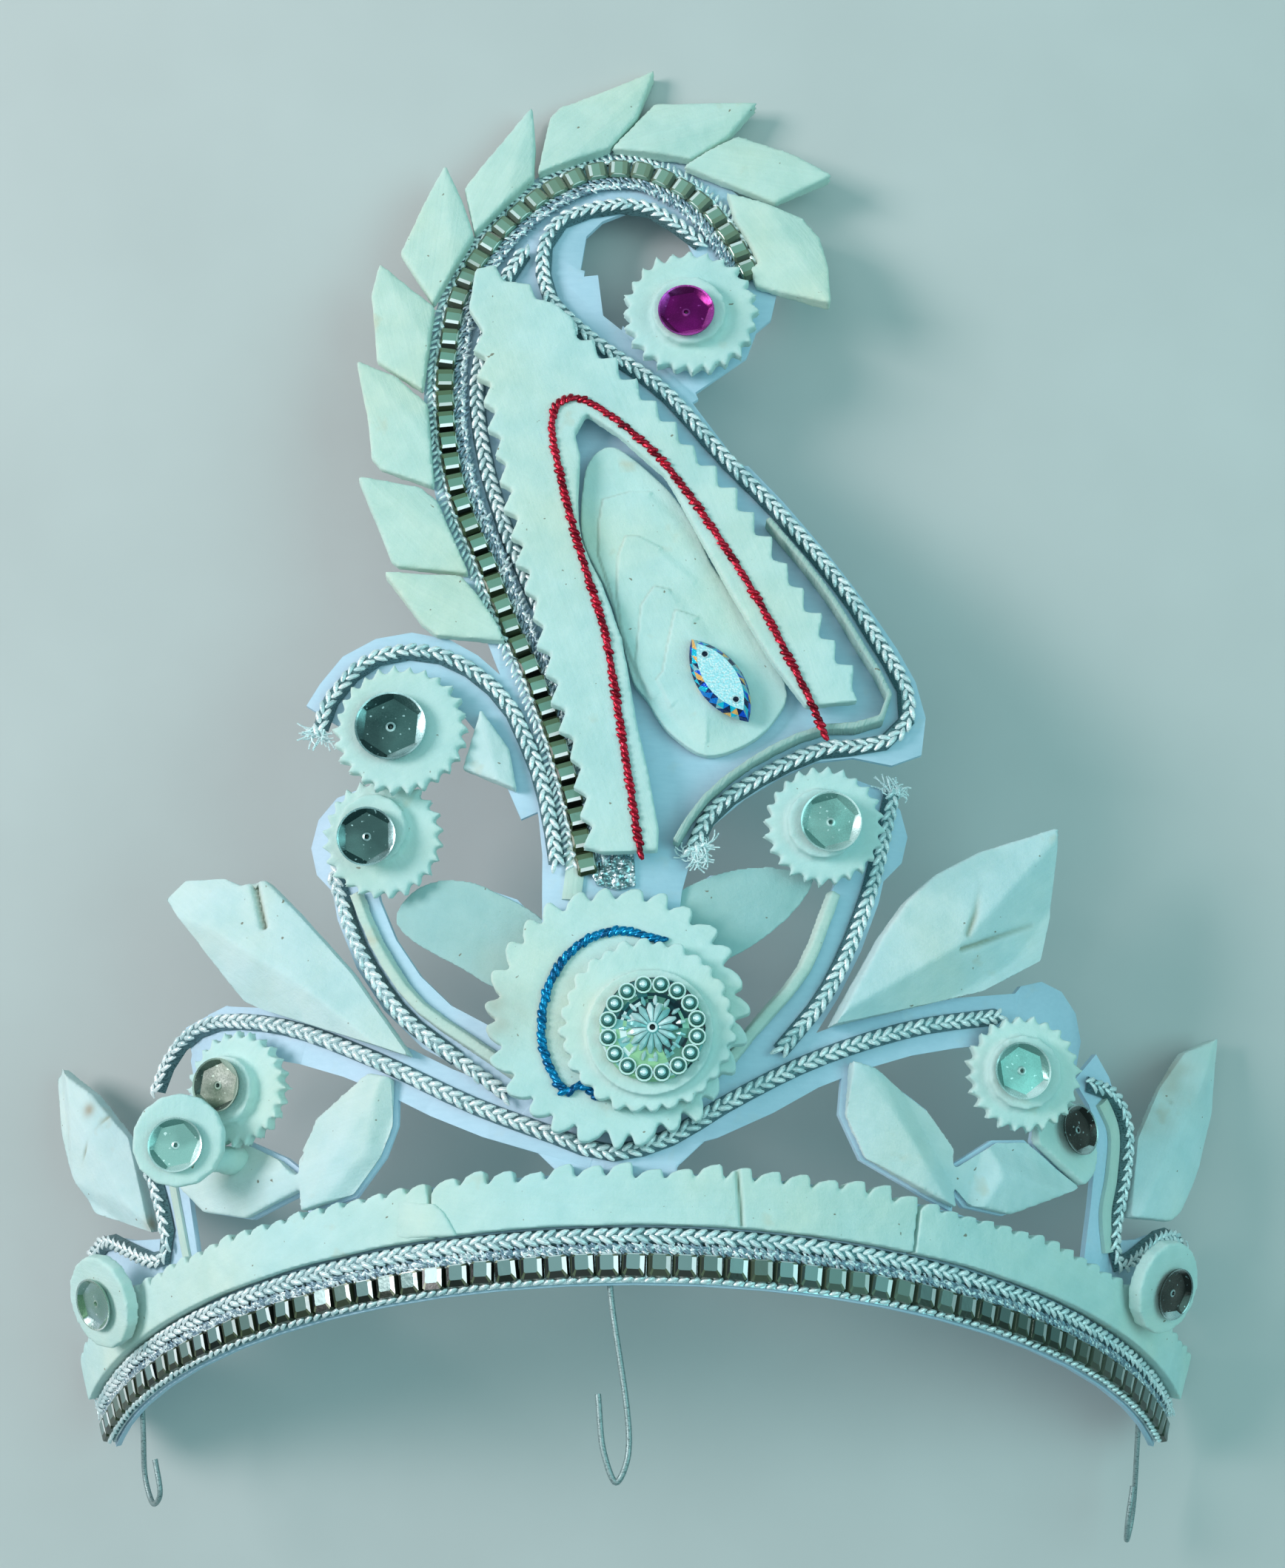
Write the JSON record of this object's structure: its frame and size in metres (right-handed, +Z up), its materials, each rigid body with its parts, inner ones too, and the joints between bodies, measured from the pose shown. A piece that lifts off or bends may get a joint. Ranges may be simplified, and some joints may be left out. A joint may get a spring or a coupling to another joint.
{
  "type": "bridal crown",
  "caption": "Bridal crown of carved cream pith on cut card: arched head band with scrolls and leaves, a curled paisley above, silver braid and rhinestone trim.",
  "frame": {"origin": "centre of the bounding box at its bottom, on the floor that the crown lies on", "axes": "+Y from the head band to the paisley's top, +Z up off the floor, +X to the right as seen from above"},
  "size_m": [0.2204, 0.2732, 0.0724],
  "materials": {
    "card": "matt white card with a light blue cast",
    "pith": "matt cream pith, cut by hand",
    "braid": "silver thread braid",
    "trim": "foil-backed baguette stones",
    "foil": "silver foil sequin",
    "magenta_foil": "magenta foil sequin",
    "stone": "foil-backed sew-on stone",
    "button": "moulded rhinestone button",
    "wire": "dull thin wire"
  },
  "bodies": {
    "root": {"frame_card": "card", "paisley_card": "card", "band_pith_left": "pith", "band_pith_centre": "pith", "band_pith_right": "pith", "band_trim": "trim", "band_braid": "braid", "braid_lower": "braid", "braid_upper_left": "braid", "braid_upper_right": "braid", "braid_side_left": "braid", "braid_side_right": "braid", "braid_paisley_edge": "braid", "braid_paisley_inner": "braid", "braid_paisley_scroll": "braid", "scroll_rib": "pith", "hook_left": "wire", "hook_centre": "wire", "hook_right": "wire", "leaf_pair_left": "pith", "leaf_pair_right": "pith", "bud_left": "pith", "bud_right": "pith", "outer_leaf_left": "pith", "outer_leaf_right": "pith", "disc_upper_left": "pith", "sequin_upper_left": "foil", "disc_upper_right": "pith", "sequin_upper_right": "foil", "disc_lower_left": "pith", "sequin_lower_left": "foil", "disc_lower_right": "pith", "sequin_lower_right": "foil", "disc_curl": "pith", "sequin_curl": "magenta_foil", "disc_paisley_scroll": "pith", "sequin_paisley_scroll": "foil", "disc_side_left": "pith", "disc_side_right": "pith", "disc_end_left": "pith", "disc_end_right": "pith", "rosette_disc": "pith", "rosette_boss": "pith", "rosette_button": "button", "paisley_trim": "trim", "paisley_rim": "pith", "flame_1": "pith", "flame_2": "pith", "flame_3": "pith", "flame_4": "pith", "flame_5": "pith", "flame_6": "pith", "flame_7": "pith", "flame_8": "pith", "flame_9": "pith", "flame_10": "pith", "paisley_panel": "pith", "petal_stack": "pith", "marquise_stone": "stone", "paisley_leaf": "pith"}
  },
  "joints": []
}
